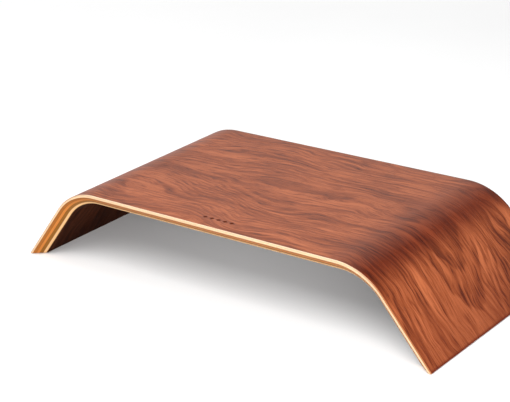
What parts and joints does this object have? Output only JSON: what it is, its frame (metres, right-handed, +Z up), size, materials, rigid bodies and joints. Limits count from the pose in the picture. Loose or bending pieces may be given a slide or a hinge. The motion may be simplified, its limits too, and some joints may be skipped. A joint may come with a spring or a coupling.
{
  "type": "laptop stand",
  "caption": "Low desk stand of bent plywood: a flat top that turns down through two wide bends into splayed legs, with walnut faces and undercut, layered long edges",
  "frame": {"origin": "On the table, under the middle of the stand", "axes": "+X along the length to the right-hand leg, +Y from the front edge to the rear edge, +Z up"},
  "size_m": [0.55, 0.26, 0.095],
  "materials": {
    "walnut_outer": "satin lacquer, grain along the length",
    "core_lengthways": "sanded and lacquered ply, long grain on the cut edge",
    "core_crossways": "sanded and lacquered ply, end grain on the cut edge",
    "walnut_under": "satin lacquer, grain along the length",
    "pad_rubber": "matt"
  },
  "bodies": {
    "root": {"top_face_veneer": "walnut_outer", "core_ply_1": "core_lengthways", "core_ply_2": "core_crossways", "core_ply_3": "core_lengthways", "core_ply_4": "core_crossways", "core_ply_5": "core_lengthways", "under_face_veneer": "walnut_under", "foot_pad_front_left": "pad_rubber", "foot_pad_front_right": "pad_rubber", "foot_pad_rear_left": "pad_rubber", "foot_pad_rear_right": "pad_rubber"}
  },
  "joints": []
}
